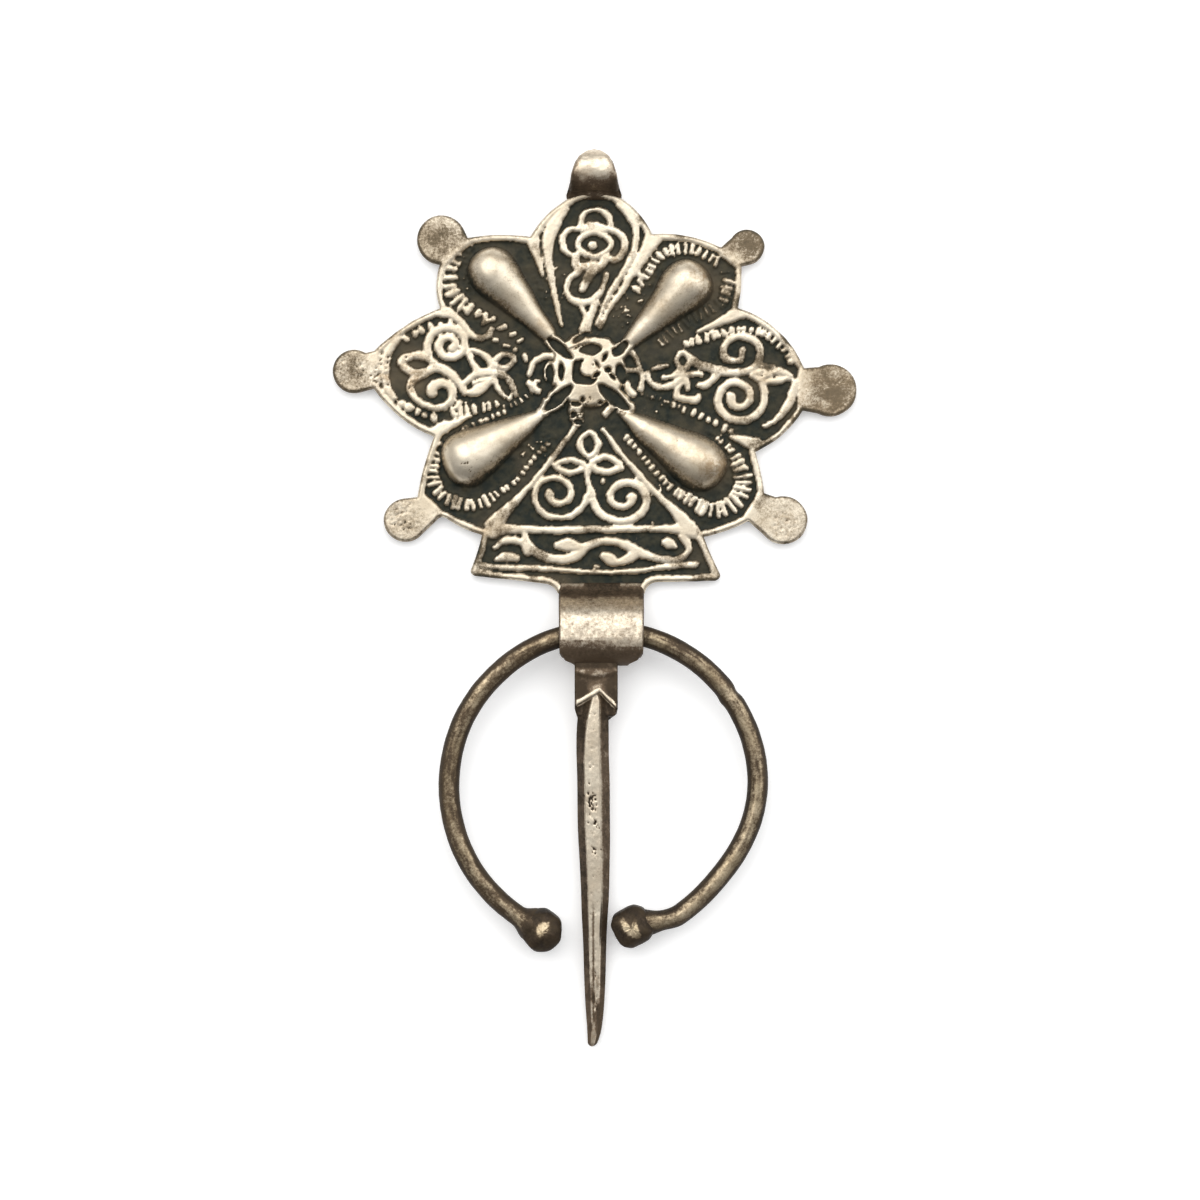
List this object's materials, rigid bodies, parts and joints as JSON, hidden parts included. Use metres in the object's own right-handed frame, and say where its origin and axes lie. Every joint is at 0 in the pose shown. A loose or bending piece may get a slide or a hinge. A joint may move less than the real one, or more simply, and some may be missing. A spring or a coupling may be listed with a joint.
{
  "type": "penannular pin brooch",
  "caption": "Cast silver fibula with a lobed relief plate, teardrop bosses, bail, sleeve and long pin, and a loose open ring that swings in the sleeve.",
  "frame": {"origin": "centre of the bounding box, on the surface that the brooch lies on", "axes": "+Y along the pin towards the bail, +X across the plate to its right tab seen from the front, +Z out of the decorated front"},
  "size_m": [0.0786, 0.134, 0.0084],
  "materials": {
    "cast_silver": "aged satin silver with dark patina in the sunk fields",
    "ring_silver": "tarnished hammered silver wire"
  },
  "bodies": {
    "brooch": {"plate_and_pin": "cast_silver"},
    "ring": {"ring": "ring_silver"}
  },
  "joints": [
    {"name": "ring_swing", "type": "hinge", "parent": "brooch", "child": "ring", "pos_m": [0.00099, -0.00598, 0.0042], "axis": [-1, 0, 0], "range_deg": [-140, 170]}
  ]
}
